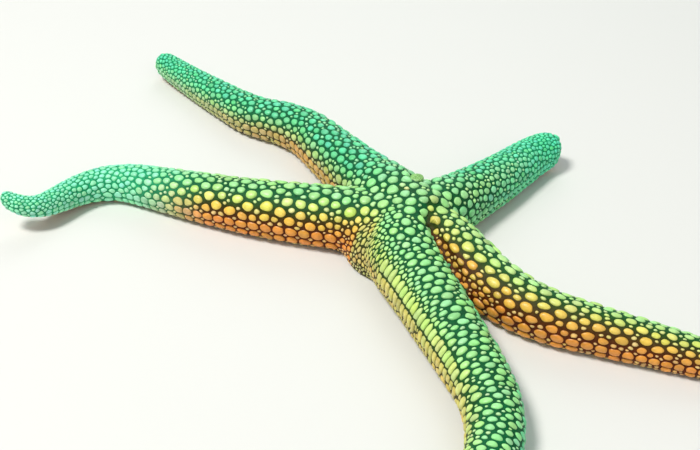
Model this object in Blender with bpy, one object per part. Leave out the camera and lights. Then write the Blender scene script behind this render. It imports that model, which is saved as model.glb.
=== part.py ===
"""A yellow mesh sea star at life size, lying with its arms spread on a level floor.

Five long, blunt, nearly cylindrical arms leave a small disc. Each arm follows a midline in plan
that turns through a few gentle bends, and is made as rings of one cross-section: a round back, full
flanks, a flat sole and the groove of the tube feet along it. The disc is one soft form in which the
five arms run together, with the mouth underneath and the sieve plate let into its back.
Lengths along an arm and half-widths are given as shares of REACH. Sizes are in metres.
"""

import math
from collections import namedtuple

import bpy
import numpy as np
from mathutils import Matrix

MM = 0.001
REACH = 105 * MM  # from the disc's centre to the end of a typical arm
GAP = 0.3 * MM  # the thin cut between two neighbouring solids

# Midlines. An arm's heading is in degrees, anticlockwise from +X, and a bend is (its middle along
# the arm, the length it takes, degrees turned to the left). An arm's girth scales all its half-widths,
# its flare is what it gains in width at the disc, its taper is the share of them lost by the tip, its
# lift is how far the tip rises off the floor, and its cuts part it into lengths, the first of them
# from the disc. The front and right arms lie against each other at first, so they part from the disc
# further out.
Arm = namedtuple("Arm", "name heading bends length girth flare taper lift cuts")
ARMS = [
    Arm("arm_front", -106, [(0.12, 0.10, 36), (0.625, 0.34, -48)],
        1.06, 1.11, 0.030, 0.50, 2 * MM, [0.26, 0.52, 0.78]),
    Arm("arm_right", -28, [(0.03, 0.13, -28), (0.35, 0.26, 35)],
        1.00, 0.96, 0.030, 0.60, 2 * MM, [0.26, 0.50, 0.75]),
    Arm("arm_back_right", 44.5, [(0.28, 0.20, 4), (0.49, 0.16, -34)],
        0.552, 0.965, 0.030, 0.14, 2 * MM, [0.165, 0.36]),
    Arm("arm_back_left", 119.5, [(0.545, 0.24, 34), (0.70, 0.14, -22)],
        1.17, 1.11, 0.034, 0.26, 2 * MM, [0.19, 0.49, 0.80]),
    Arm("arm_left", 188, [(0.00, 0.22, -22), (0.40, 0.30, -9), (0.795, 0.25, 81), (0.985, 0.10, -72)],
        1.058, 1.14, 0.002, 0.58, 7 * MM, [0.19, 0.46, 0.75]),
]

# Half-width along an arm: a straight taper, with its flare where the arm joins the disc.
BASE_HALF_WIDTH = 0.070
STRAIGHT_TAPER = 0.022
FLARE_LENGTH = 0.12
WIDEST_AT = 0.12
LIFT_SHARE = 0.35  # the last share of an arm's length, over which its tip curls up
LIFT_CURL = 3  # the power by which it steepens

# Cross-section, in half-widths.
BACK_HEIGHT = 0.95  # the back's height over the widest line
SOLE_DEPTH = 0.80  # the sole's depth below it
FLANK_FULLNESS = 2.6  # the exponent of the lower flank's superellipse; 2 is round
SIDE_POINTS = 9
GROOVE_HALF_WIDTH = 1.4 * MM
GROOVE_DEPTH = 2.4 * MM
GROOVE_FADE = 0.08  # how far before the tip the groove starts to close

# Rings along an arm
RING_SPACING = 4.2 * MM
RING_TURN = 13  # degrees of bend between two rings
MIDLINE_STEPS = 800
TIP_PLATE = 0.030  # the length of the end plate
TIP_ANGLES = (0, 24, 48, 68)  # its rings, in degrees round the quarter circle of its end

# The disc
STUB_START = -0.04  # an arm's stub starts a little behind the disc's middle
STUB_EXTRA = 0.06  # and runs this far past the disc's edge before it is cut
DOME_RADIUS = 0.140
DOME_SHIFT = (-0.025, -0.017)  # towards the wide bay between the left and front arms
DOME_MIDDLE = 0.030
DOME_HEIGHT = 0.118
DOME_SIDES = 32
DOME_STEP = 15  # degrees
DISC_VOXEL = 1.0 * MM
DISC_SMOOTHING = 3
DISC_KEPT = 0.20  # share of the remeshed disc's triangles kept
UNDERCUT = 2.0 * MM  # how far the stubs run below the floor before the sole is cut flat
CUTTER_MARGIN = 0.5 * MM  # how much wider than an arm the block is that cuts off its stub
CUTTER_DEPTH = 0.12
CUTTER_HEIGHTS = (-0.1, 0.3)
FLOOR_CUTTER_HALF = 0.4
BELOW_FLOOR = -1 * MM  # where the grooves' and the mouth's cutters start
BOX_FACES = [(3, 2, 1, 0), (4, 5, 6, 7), (0, 1, 5, 4), (1, 2, 6, 5), (2, 3, 7, 6), (3, 0, 4, 7)]

# The crease between the front and right arms, from near the disc's middle outwards
CREASE_FROM = (0.016, -0.062)
CREASE_TO = (0.102, -0.262)
CREASE_FLOORS = (0.088, 0.012)  # heights of its bottom at the two ends
CREASE_HALF_WIDTHS = (0.016, 0.036)  # at the height below
CREASE_TOP = 0.170

MOUTH_RADIUS = 3.2 * MM
MOUTH_DEPTH = 4.2 * MM
MOUTH_SIDES = 20
JAW_RADIUS = 5.4 * MM
MEMBRANE_THICKNESS = 0.9 * MM
LIP_RADIUS = 1.3 * MM  # the pursed opening's lip hangs lowest
OPENING_RADIUS = 0.5 * MM
OPENING_HEIGHTS = (0.45 * MM, 0.2 * MM, 0, 0.25 * MM)  # middle, opening, lip and rim, over the lip

SIEVE_HEADING = 83  # between the two arms at the back
SIEVE_DISTANCE = 0.082
SIEVE_RADIUS = 1.7 * MM
SIEVE_SEAT = 0.9 * MM
SIEVE_RISE = 0.5 * MM
SIEVE_PROFILE = [(1, 0.2), (0.75, 0.75), (0.4, 1), (0, 1.05)]  # shares of its radius and rise
SIEVE_CUTTER_TOP = 4 * MM
SIEVE_SIDES = 18

BACK_COLOUR = (0.55, 0.72, 0.16)
TIP_COLOUR = (0.16, 0.62, 0.40)
TIP_TINGE = 0.6  # the share of the tip's colour in the last length of an arm
MOUTH_COLOUR = (0.55, 0.36, 0.18)
SIEVE_COLOUR = (0.80, 0.74, 0.42)


def clear_scene():
    for thing in list(bpy.data.objects):
        bpy.data.objects.remove(thing)


def ease(t):
    """A smooth step from 0 to 1 as t goes from 0 to 1."""
    t = np.clip(t, 0, 1)
    return t * t * (3 - 2 * t)


def heading(arm, station):
    """The arm's heading in radians at a station or an array of them."""
    turned = sum(turn * ease((station - middle) / span + 0.5) for middle, span, turn in arm.bends)
    return np.radians(arm.heading + turned)


def midline(arm, station):
    """The point on the arm's midline in plan, in metres, at a station or an array of them."""
    fine = np.linspace(-0.1, arm.length, MIDLINE_STEPS)
    step = fine[1] - fine[0]
    turned = heading(arm, (fine[1:] + fine[:-1]) / 2)
    x = np.concatenate([[0], np.cumsum(np.cos(turned) * step)])
    y = np.concatenate([[0], np.cumsum(np.sin(turned) * step)])
    x -= np.interp(0, fine, x)
    y -= np.interp(0, fine, y)
    return REACH * np.interp(station, fine, x), REACH * np.interp(station, fine, y)


def half_width(arm, station):
    """The arm's half-width in metres, before its end is rounded off."""
    station = max(station, WIDEST_AT)
    straight = BASE_HALF_WIDTH - STRAIGHT_TAPER * station
    flare = arm.flare * math.exp(-station / FLARE_LENGTH)
    narrowing = 1 - arm.taper * (station / arm.length) ** 3
    return REACH * arm.girth * (straight + flare) * narrowing


def lift(arm, station):
    """How far the sole is off the floor."""
    start = arm.length * (1 - LIFT_SHARE)
    return arm.lift * max(0.0, (station - start) / (arm.length - start)) ** LIFT_CURL


def roundness(arm, station):
    """1 along the arm, falling to 0 in a quarter circle at its blunt end."""
    end_radius = half_width(arm, arm.length) / REACH
    into = (station - (arm.length - end_radius)) / end_radius
    return math.sqrt(max(0.0, 1 - into * into)) if into > 0 else 1.0


def back_and_flank(radius):
    """Points (across, height from the widest line) from the crest down to the sole's edge."""
    sole_angle = math.pi - math.acos((SOLE_DEPTH / BACK_HEIGHT) ** (FLANK_FULLNESS / 2))
    points = []
    for i in range(SIDE_POINTS + 1):
        angle = sole_angle * i / SIDE_POINTS
        power = 1 if angle <= math.pi / 2 else 2 / FLANK_FULLNESS
        across = radius * math.sin(angle) ** power
        height = radius * BACK_HEIGHT * math.copysign(abs(math.cos(angle)) ** power, math.cos(angle))
        points.append((across, height))
    points[-1] = (points[-1][0], -SOLE_DEPTH * radius)
    return points


def cross_section(arm, station, undercut=None):
    """The closed outline (across, height over the floor), from the crest round by the right.

    With an undercut the sole has no groove and hangs that far below the floor."""
    radius = half_width(arm, station)
    shrink = roundness(arm, station)
    middle = SOLE_DEPTH * radius + lift(arm, station)
    side = [(across, middle + height) for across, height in back_and_flank(radius * shrink)]
    edge, floor = side[-1]
    if undercut is not None:
        return side + [(edge, -undercut), (0, -undercut), (-edge, -undercut)] + mirrored(side)
    left_to_tip = arm.length - TIP_PLATE - station
    open_share = float(ease(left_to_tip / GROOVE_FADE))
    lip = min(edge * 0.5, GROOVE_HALF_WIDTH)
    depth = GROOVE_DEPTH * open_share * shrink
    return side + [(lip, floor), (0, floor + depth), (-lip, floor)] + mirrored(side)


def mirrored(side):
    """The same points on the left, from the sole's edge up, without the crest."""
    return [(-across, height) for across, height in reversed(side[1:])]


def ring(arm, station, outline):
    """The outline's points in space, square across the arm at that station."""
    x, y = midline(arm, station)
    turned = heading(arm, station)
    right = (math.sin(turned), -math.cos(turned))
    return [(x + right[0] * across, y + right[1] * across, height) for across, height in outline]


def ring_stations(arm, start, stop):
    """Stations from start to stop, closer together where the arm bends."""
    fine = np.linspace(start, stop, 400)
    turned = np.degrees(heading(arm, fine))
    effort = np.diff(fine) * REACH / RING_SPACING + np.abs(np.diff(turned)) / RING_TURN
    effort = np.concatenate([[0], np.cumsum(effort)])
    count = max(2, math.ceil(effort[-1]))
    return np.interp(np.linspace(0, effort[-1], count + 1), effort, fine)


def new_object(name, points, faces, colour, roughness=0.55):
    mesh = bpy.data.meshes.new(name)
    mesh.from_pydata(points, [], faces)
    mesh.validate()
    mesh.shade_smooth()
    thing = bpy.data.objects.new(name, mesh)
    bpy.context.scene.collection.objects.link(thing)
    thing.data.materials.append(new_material(name, colour, roughness))
    return thing


def new_material(name, colour, roughness):
    material = bpy.data.materials.new(name)
    material.use_nodes = True
    shader = material.node_tree.nodes["Principled BSDF"]
    shader.inputs["Base Color"].default_value = (*colour, 1)
    shader.inputs["Roughness"].default_value = roughness
    shader.inputs["Metallic"].default_value = 0
    return material


def lofted(name, rings, colour):
    """A closed solid through rings of equal count, its two ends filled."""
    count = len(rings[0])
    points = [point for one in rings for point in one]
    faces = [tuple(reversed(range(count)))]
    for i in range(len(rings) - 1):
        for j in range(count):
            k = (j + 1) % count
            faces.append((i * count + j, i * count + k, (i + 1) * count + k, (i + 1) * count + j))
    faces.append(tuple((len(rings) - 1) * count + j for j in range(count)))
    return new_object(name, points, faces, colour)


def arm_length(arm, name, start, stop, colour):
    """One length of an arm, with half of the thin cut taken off each end."""
    half_gap = GAP / REACH / 2
    stations = ring_stations(arm, start + half_gap, stop - half_gap)
    rings = [ring(arm, s, cross_section(arm, s)) for s in stations]
    return lofted(name, rings, colour)


def tip_plate(arm):
    """The blunt end of an arm, rounded off in a quarter circle."""
    start = arm.length - TIP_PLATE + GAP / REACH / 2
    stations = [start + (arm.length - start) * math.sin(math.radians(angle)) for angle in TIP_ANGLES]
    rings = [ring(arm, s, cross_section(arm, s)) for s in stations]
    return lofted(arm.name + "_tip", rings, TIP_COLOUR)


def make_arm(arm):
    names = ["base", "middle", "end"] if len(arm.cuts) == 3 else ["base", "end"]
    stops = [*arm.cuts, arm.length - TIP_PLATE]
    pieces = []
    for name, start, stop in zip(names, stops[:-1], stops[1:]):
        tinge = (start + stop) / 2 / arm.length * TIP_TINGE
        colour = tuple(b + (t - b) * tinge for b, t in zip(BACK_COLOUR, TIP_COLOUR))
        pieces.append(arm_length(arm, f"{arm.name}_{name}", start, stop, colour))
    return pieces + [tip_plate(arm)]


def as_cutter(thing):
    thing.hide_render = True
    thing.display_type = "WIRE"
    return thing


def cut(thing, cutter):
    boolean = thing.modifiers.new("cut_" + cutter.name, "BOOLEAN")
    boolean.operation = "DIFFERENCE"
    boolean.solver = "EXACT"
    boolean.object = cutter


def arm_end_cutter(arm):
    """A block that takes off an arm's stub beyond the disc's edge, and leaves its neighbours'."""
    start = arm.cuts[0] - GAP / REACH / 2
    x, y = midline(arm, start)
    turned = float(heading(arm, start))
    along = np.array([math.cos(turned), math.sin(turned), 0])
    across = np.array([-along[1], along[0], 0]) * (half_width(arm, start) + CUTTER_MARGIN)
    near = np.array([float(x), float(y), 0])
    points = []
    for height in CUTTER_HEIGHTS:
        for corner in (near - across, near - across + along * CUTTER_DEPTH * REACH,
                       near + across + along * CUTTER_DEPTH * REACH, near + across):
            points.append(tuple(corner + np.array([0, 0, height * REACH])))
    return as_cutter(new_object(arm.name + "_cutter", points, BOX_FACES, BACK_COLOUR))


def crease_cutter():
    """A wedge that keeps the two arms that lie together apart on the disc's back."""
    begin, end = np.array(CREASE_FROM), np.array(CREASE_TO)
    along = (end - begin) / np.linalg.norm(end - begin)
    right = np.array([along[1], -along[0]])
    rings = []
    for place, floor, half in zip((begin, end), CREASE_FLOORS, CREASE_HALF_WIDTHS):
        corners = [(place - right * half, CREASE_TOP), (place + right * half, CREASE_TOP), (place, floor)]
        rings.append([(*plan * REACH, height * REACH) for plan, height in corners])
    return as_cutter(lofted("crease_cutter", rings, BACK_COLOUR))


def groove_cutter(arm):
    """A prism of the groove's own shape, from the mouth out past the disc's edge."""
    wide = GROOVE_HALF_WIDTH - BELOW_FLOOR * GROOVE_HALF_WIDTH / GROOVE_DEPTH
    outline = [(0, GROOVE_DEPTH), (wide, BELOW_FLOOR), (-wide, BELOW_FLOOR)]
    stations = ring_stations(arm, 0.01, arm.cuts[0] + STUB_EXTRA)
    rings = [ring(arm, s, outline) for s in stations]
    return as_cutter(lofted(arm.name + "_groove_cutter", rings, BACK_COLOUR))


def turned_solid(name, profile, sides, colour):
    """A solid turned about +Z from (radius, height) points, first and last on the axis."""
    points = [(0, 0, profile[0][1])]
    for radius, height in profile[1:-1]:
        for i in range(sides):
            angle = 2 * math.pi * i / sides
            points.append((radius * math.cos(angle), radius * math.sin(angle), height))
    points.append((0, 0, profile[-1][1]))
    rows = len(profile) - 2
    faces = []
    for i in range(sides):
        j = (i + 1) % sides
        faces.append((0, 1 + j, 1 + i))
        for row in range(rows - 1):
            low, high = 1 + row * sides, 1 + (row + 1) * sides
            faces.append((low + i, low + j, high + j, high + i))
        faces.append((1 + (rows - 1) * sides + i, 1 + (rows - 1) * sides + j, len(points) - 1))
    return new_object(name, points, faces, colour)


def soft_disc():
    """The stubs of all five arms and a low dome, run together and smoothed."""
    parts = []
    for arm in ARMS:
        stations = ring_stations(arm, STUB_START, arm.cuts[0] + STUB_EXTRA)
        rings = [ring(arm, s, cross_section(arm, s, UNDERCUT)) for s in stations]
        parts.append(lofted(arm.name + "_stub", rings, BACK_COLOUR))
    dome = []
    for angle in range(-90, 91, DOME_STEP):
        turned = math.radians(angle)
        dome.append((DOME_RADIUS * REACH * math.cos(turned),
                     REACH * (DOME_MIDDLE + DOME_HEIGHT * math.sin(turned))))
    parts.append(turned_solid("dome", dome, DOME_SIDES, BACK_COLOUR))
    parts[-1].data.transform(Matrix.Translation((DOME_SHIFT[0] * REACH, DOME_SHIFT[1] * REACH, 0)))
    points, faces = [], []
    for part in parts:
        first = len(points)
        points += [tuple(v.co) for v in part.data.vertices]
        faces += [tuple(first + v for v in face.vertices) for face in part.data.polygons]
        bpy.data.objects.remove(part)
    disc = new_object("disc", points, faces, BACK_COLOUR)
    remesh = disc.modifiers.new("run_together", "REMESH")
    remesh.mode = "VOXEL"
    remesh.voxel_size = DISC_VOXEL
    cut(disc, crease_cutter())
    smooth = disc.modifiers.new("soften", "SMOOTH")
    smooth.iterations = DISC_SMOOTHING
    thin = disc.modifiers.new("thin_out", "DECIMATE")
    thin.ratio = DISC_KEPT
    return disc


def floor_cutter():
    """Everything below the floor under the disc."""
    half = FLOOR_CUTTER_HALF * REACH
    corners = [(-half, -half), (half, -half), (half, half), (-half, half)]
    points = [(x, y, height) for height in (CUTTER_HEIGHTS[0] * REACH, 0) for x, y in corners]
    return as_cutter(new_object("floor_cutter", points, BOX_FACES, BACK_COLOUR))


def mouth_cutter():
    """The mouth: a straight well whose edge opens towards the floor."""
    profile = [(0, BELOW_FLOOR), (JAW_RADIUS - BELOW_FLOOR, BELOW_FLOOR),
               (MOUTH_RADIUS, JAW_RADIUS - MOUTH_RADIUS),
               (MOUTH_RADIUS, MOUTH_DEPTH), (0, MOUTH_DEPTH)]
    return as_cutter(turned_solid("mouth_cutter", profile, MOUTH_SIDES, MOUTH_COLOUR))


def mouth_membrane():
    """The membrane across the mouth's well, with its small pursed opening."""
    radius = MOUTH_RADIUS - GAP
    top = MOUTH_DEPTH - GAP
    lip = top - MEMBRANE_THICKNESS
    radii = (0, OPENING_RADIUS, LIP_RADIUS, radius)
    profile = [(at, lip + height) for at, height in zip(radii, OPENING_HEIGHTS)]
    profile += [(radius, top), (0, top)]
    return turned_solid("mouth_membrane", profile, MOUTH_SIDES, MOUTH_COLOUR)


def disc_top(x, y, disc):
    """The height of the disc's back over a point in plan."""
    graph = bpy.context.evaluated_depsgraph_get()
    hit, place, _, _ = disc.evaluated_get(graph).ray_cast((x, y, REACH), (0, 0, -1))
    assert hit, "the sieve plate lies off the disc"
    return place.z


def sieve_plate(disc):
    """The sieve plate, let into a shallow round seat in the disc's back."""
    turned = math.radians(SIEVE_HEADING)
    x = REACH * SIEVE_DISTANCE * math.cos(turned)
    y = REACH * SIEVE_DISTANCE * math.sin(turned)
    top = disc_top(x, y, disc)
    seat_radius = SIEVE_RADIUS + GAP
    seat_profile = [(0, -SIEVE_SEAT), (seat_radius, -SIEVE_SEAT),
                    (seat_radius, SIEVE_CUTTER_TOP), (0, SIEVE_CUTTER_TOP)]
    plate_profile = [(0, GAP - SIEVE_SEAT), (SIEVE_RADIUS, GAP - SIEVE_SEAT)]
    plate_profile += [(SIEVE_RADIUS * radius, SIEVE_RISE * rise) for radius, rise in SIEVE_PROFILE]
    seat = turned_solid("sieve_cutter", seat_profile, SIEVE_SIDES, SIEVE_COLOUR)
    plate = turned_solid("madreporite", plate_profile, SIEVE_SIDES, SIEVE_COLOUR)
    for thing in (seat, plate):
        thing.location = (x, y, top)
    cut(disc, as_cutter(seat))
    return plate


def make_disc():
    disc = soft_disc()
    for arm in ARMS:
        cut(disc, arm_end_cutter(arm))
    cut(disc, floor_cutter())
    plate = sieve_plate(disc)
    for arm in ARMS:
        cut(disc, groove_cutter(arm))
    cut(disc, mouth_cutter())
    return [disc, plate, mouth_membrane()]


def stand_over_origin(things):
    """Moves all that was made, so that the middle of the star's box is over the origin."""
    bpy.context.view_layer.update()
    graph = bpy.context.evaluated_depsgraph_get()
    corners = []
    for thing in things:
        shape = thing.evaluated_get(graph)
        corners += [shape.matrix_world @ v.co for v in shape.data.vertices]
    box_middle = [(min(c[i] for c in corners) + max(c[i] for c in corners)) / 2 for i in range(2)]
    stand = bpy.data.objects.new("sea_star", None)
    bpy.context.scene.collection.objects.link(stand)
    for thing in bpy.data.objects:
        if thing is not stand:
            thing.parent = stand
    stand.location = (-box_middle[0], -box_middle[1], 0)


def main():
    clear_scene()
    things = make_disc()
    for arm in ARMS:
        things += make_arm(arm)
    stand_over_origin(things)


main()
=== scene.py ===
"""Looks of the yellow mesh sea star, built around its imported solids.

One soft skin replaces the flesh, sunk a little below the solids. The body plates stand on it as
low domes: two regular rows along each flank, and large, medium and small ones packed between them.
Underneath are the sole's small plates, the furrow spines, the tube feet and the jaws.
"""

import math
from collections import namedtuple

import bmesh
import bpy
import numpy as np
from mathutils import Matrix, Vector
from mathutils.bvhtree import BVHTree
from mathutils.kdtree import KDTree


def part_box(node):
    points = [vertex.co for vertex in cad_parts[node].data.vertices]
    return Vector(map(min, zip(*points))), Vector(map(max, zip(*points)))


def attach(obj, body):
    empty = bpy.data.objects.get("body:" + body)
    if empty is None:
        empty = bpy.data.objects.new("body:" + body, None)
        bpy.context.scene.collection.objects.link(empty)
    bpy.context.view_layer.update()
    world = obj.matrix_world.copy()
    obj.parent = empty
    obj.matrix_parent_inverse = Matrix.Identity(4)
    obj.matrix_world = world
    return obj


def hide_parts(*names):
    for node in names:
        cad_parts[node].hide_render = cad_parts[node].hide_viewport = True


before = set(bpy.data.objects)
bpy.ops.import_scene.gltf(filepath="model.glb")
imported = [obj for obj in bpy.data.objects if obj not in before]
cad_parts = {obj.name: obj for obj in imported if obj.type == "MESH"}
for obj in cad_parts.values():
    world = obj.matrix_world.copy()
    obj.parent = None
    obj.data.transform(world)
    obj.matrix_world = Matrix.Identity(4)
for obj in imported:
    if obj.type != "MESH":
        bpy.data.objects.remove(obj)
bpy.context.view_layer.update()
MM = 0.001

# An arm's first values, up to lift, are the solids' own, the same as in the part's source. The rest
# are its looks. plates is the size of its plates, and stretch is their length by their width.
# rows is the pitch of the rows on its left and right flank, in arm radii. onset is how many degrees
# below the crest it starts to turn orange, and warm how far its left and right flanks do; the orange
# is the flanks' own colour, and the difference between the two flanks is painted warm light. green
# and snug are the shares of its length between which the tip's teal green, partly its own colour
# and partly painted turquoise light, and the close mesh come in. The last value is how much painted
# turquoise light it has, most on the two back arms.
REACH = 105 * MM
Arm = namedtuple("Arm", "name heading bends length girth flare taper lift "
                        "plates stretch rows onset warm green snug cool")
ARMS = [
    Arm("arm_front", -106, [(0.12, 0.10, 36), (0.625, 0.34, -48)], 1.06, 1.11, 0.030, 0.50, 2 * MM,
        0.70, 0.62, (0.38, 0.40), 30, (0.05, 0.75), (0.55, 1.3), (0.75, 1.2), 0.05),
    Arm("arm_right", -28, [(0.03, 0.13, -28), (0.35, 0.26, 35)], 1.00, 0.96, 0.030, 0.60, 2 * MM,
        0.88, 1.50, (0.45, 0.51), -30, (0.25, 1.12), (0.75, 1.4), (0.80, 1.3), 0.10),
    Arm("arm_back_right", 44.5, [(0.28, 0.20, 4), (0.49, 0.16, -34)], 0.552, 0.965, 0.030, 0.14, 2 * MM,
        0.58, 1.10, (0.32, 0.32), 12, (0.05, 0.25), (0.25, 0.95), (0.3, 1.0), 0.95),
    Arm("arm_back_left", 119.5, [(0.545, 0.24, 34), (0.70, 0.14, -22)], 1.17, 1.11, 0.034, 0.26, 2 * MM,
        0.74, 1.35, (0.44, 0.36), 38, (0.98, 0.15), (0.35, 1.25), (0.6, 1.2), 0.90),
    Arm("arm_left", 188, [(0.00, 0.22, -22), (0.40, 0.30, -9), (0.795, 0.25, 81), (0.985, 0.10, -72)],
        1.058, 1.14, 0.002, 0.58, 7 * MM,
        0.83, 1.26, (0.42, 0.42), 25, (1.00, 0.25), (0.42, 0.68), (0.5, 0.7), 0.0),
]
FRONT, RIGHT, BACK_RIGHT, LEFT = 0, 1, 2, 4  # places in ARMS
BASE_HALF_WIDTH, STRAIGHT_TAPER, FLARE_LENGTH, WIDEST_AT = 0.070, 0.022, 0.12, 0.12
LIFT_SHARE, LIFT_CURL, SOLE_DEPTH = 0.35, 3, 0.80
LINE_START, LINE_STEP = 0.03, 0.0025  # where a midline starts, behind the disc's middle, and its step
CHUNK = 20000  # points looked up at a time
FIRMER_NODES = ("madreporite", "mouth_membrane")

low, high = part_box("mouth_membrane")
CENTRE = (low + high) / 2  # the mouth is under the disc's middle
low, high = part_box("madreporite")
SIEVE = (low + high) / 2
SIEVE_RADIUS = (high.x - low.x) / 2

# Skin
CLOSING = 0.3 * MM  # the solids grow this much first, so that the thin cuts between them close
SKIN_DEPTH = 0.35 * MM  # how far the finished skin lies inside the solids
SKIN_VOXEL = 0.62 * MM
SINK_STEPS = 5

rng = np.random.default_rng(7)


def ease(t):
    t = np.clip(t, 0, 1)
    return t * t * (3 - 2 * t)


def rising(value, start, width):
    """0 up to start, and smoothly up to 1 over a width."""
    return ease((value - start) / width)


def falling(value, end, width):
    """1 at first, and smoothly down to 0 over a width, which ends at end."""
    return ease((end - value) / width)


def unit(v):
    return v / np.maximum(np.linalg.norm(v, axis=-1, keepdims=True), 1e-12)


class Line:
    """An arm's midline, sampled finely."""

    def __init__(self, arm):
        self.arm = arm
        self.station = np.arange(-LINE_START, arm.length, LINE_STEP)
        step = self.station[1] - self.station[0]
        self.heading = self.turned(self.station)
        middle = self.turned(self.station[:-1] + step / 2)
        x = np.concatenate([[0], np.cumsum(np.cos(middle) * step)])
        y = np.concatenate([[0], np.cumsum(np.sin(middle) * step)])
        self.x = CENTRE.x + REACH * (x - np.interp(0, self.station, x))
        self.y = CENTRE.y + REACH * (y - np.interp(0, self.station, y))
        self.radius = self.half_width(self.station)
        self.axis = SOLE_DEPTH * self.radius + self.lift(self.station)

    def turned(self, s):
        arm = self.arm
        return np.radians(arm.heading + sum(t * ease((s - m) / w + 0.5) for m, w, t in arm.bends))

    def half_width(self, s):
        s = np.maximum(s, WIDEST_AT)
        wide = BASE_HALF_WIDTH - STRAIGHT_TAPER * s + self.arm.flare * np.exp(-s / FLARE_LENGTH)
        return REACH * self.arm.girth * wide * (1 - self.arm.taper * (s / self.arm.length) ** 3)

    def lift(self, s):
        start = self.arm.length * (1 - LIFT_SHARE)
        return self.arm.lift * np.maximum(0, (s - start) / (self.arm.length - start)) ** LIFT_CURL

    def at(self, s, values):
        return np.interp(s, self.station, values)


LINES = [Line(arm) for arm in ARMS]

Place = namedtuple("Place", "arm station across up radius angle")


def on_arm(points, a):
    """Where points lie along and round one arm, and how far from its midline in plan.

    angle is 0 on the crest and 90 on the right flank.
    """
    line = LINES[a]
    i = np.empty(len(points), int)
    for start in range(0, len(points), CHUNK):
        some = points[start:start + CHUNK]
        away = (some[:, :1] - line.x) ** 2 + (some[:, 1:2] - line.y) ** 2
        i[start:start + CHUNK] = away.argmin(1)
    dx, dy = points[:, 0] - line.x[i], points[:, 1] - line.y[i]
    c, s = np.cos(line.heading[i]), np.sin(line.heading[i])
    station = line.station[i] + (dx * c + dy * s) / REACH
    across = dx * s - dy * c
    up = points[:, 2] - line.axis[i]
    angle = np.degrees(np.arctan2(across, up))
    return Place(np.full(len(points), a), station, across, up, line.radius[i], angle), np.hypot(dx, dy)


def on_star(points):
    """The arm each point belongs to, and where it lies on it."""
    best = None
    for a in range(len(ARMS)):
        place, away = on_arm(points, a)
        closeness = away / place.radius
        if best is None:
            best, nearest = place, closeness
            continue
        nearer = closeness < nearest
        nearest = np.where(nearer, closeness, nearest)
        best = Place(*(np.where(nearer, new, old) for new, old in zip(place, best)))
    return best


def relative(points, a):
    """The station and angle of each point on the arm that its face belongs to, a."""
    out = np.zeros((len(points), 2))
    for k in range(len(ARMS)):
        mine = a == k
        place, _ = on_arm(points[mine], k)
        out[mine] = np.stack([place.station, place.angle], 1)
    return out


def of_arm(name, a):
    """A named value of each of the arms a."""
    return np.array([getattr(arm, name) for arm in ARMS])[a]


def share_along(place):
    """How far along its arm each place is, as a share of the arm's length."""
    return place.station / of_arm("length", place.arm)


# Meshes ------------------------------------------------------------------------------------------

def new_mesh(name, points, face_sets, smooth=True):
    """A mesh from an array of points and arrays of faces of equal side counts."""
    loops = np.concatenate([f.ravel() for f in face_sets]).astype(np.int32)
    totals = np.concatenate([np.full(len(f), f.shape[1]) for f in face_sets]).astype(np.int32)
    starts = np.concatenate([[0], np.cumsum(totals)[:-1]]).astype(np.int32)
    mesh = bpy.data.meshes.new(name)
    mesh.vertices.add(len(points))
    mesh.vertices.foreach_set("co", np.asarray(points, np.float32).ravel())
    mesh.loops.add(len(loops))
    mesh.loops.foreach_set("vertex_index", loops)
    mesh.polygons.add(len(totals))
    mesh.polygons.foreach_set("loop_start", starts)
    mesh.polygons.foreach_set("loop_total", totals)
    mesh.update(calc_edges=True)
    if smooth:
        mesh.shade_smooth()
    return mesh


def new_piece(name, mesh, material, replaced=()):
    thing = bpy.data.objects.new(name, mesh)
    bpy.context.scene.collection.objects.link(thing)
    mesh.materials.append(material)
    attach(thing, "root")
    if replaced:
        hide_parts(*replaced)


def paint(mesh, colours):
    layer = mesh.attributes.new("tint", "FLOAT_COLOR", "POINT")
    rgba = np.ones((len(colours), 4), np.float32)
    rgba[:, :3] = colours
    layer.data.foreach_set("color", rgba.ravel())


def lay_out(mesh, uv):
    """The map for baking, from one (u, v) per corner."""
    mesh.uv_layers.new(name="OFBake").uv.foreach_set("vector", np.asarray(uv, np.float32).ravel())


def loop_vertices(mesh):
    index = np.empty(len(mesh.loops), np.int32)
    mesh.loops.foreach_get("vertex_index", index)
    return index


STRIP_MARGIN, STRIP_SHARE = 0.02, 0.96  # the empty edge of each arm's strip, and what is left


def strip_uv(a, station, angle):
    """Five strips, one for each arm: along it and once round it."""
    whole = of_arm("length", a) + 2 * LINE_START
    u = STRIP_MARGIN + STRIP_SHARE * np.clip((station + LINE_START) / whole, 0, 1)
    v = (a + STRIP_MARGIN + STRIP_SHARE * np.clip((angle + 180) / 360, 0, 1)) / len(ARMS)
    return np.stack([u, v], -1)


# Skin --------------------------------------------------------------------------------------------

def grown_flesh():
    """All the flesh nodes as one mesh, each grown a little so that they overlap."""
    points, faces = [], []
    for name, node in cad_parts.items():
        if name in FIRMER_NODES:
            continue
        bm = bmesh.new()
        bm.from_mesh(node.data)
        bmesh.ops.remove_doubles(bm, verts=bm.verts, dist=1e-6)
        bm.normal_update()
        bm.verts.index_update()
        first = len(points)
        points += [tuple(v.co + v.normal * CLOSING) for v in bm.verts]
        faces += [[first + v.index for v in f.verts] for f in bm.faces]
        bm.free()
    mesh = bpy.data.meshes.new("flesh")
    mesh.from_pydata(points, [], faces)
    return mesh


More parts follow.
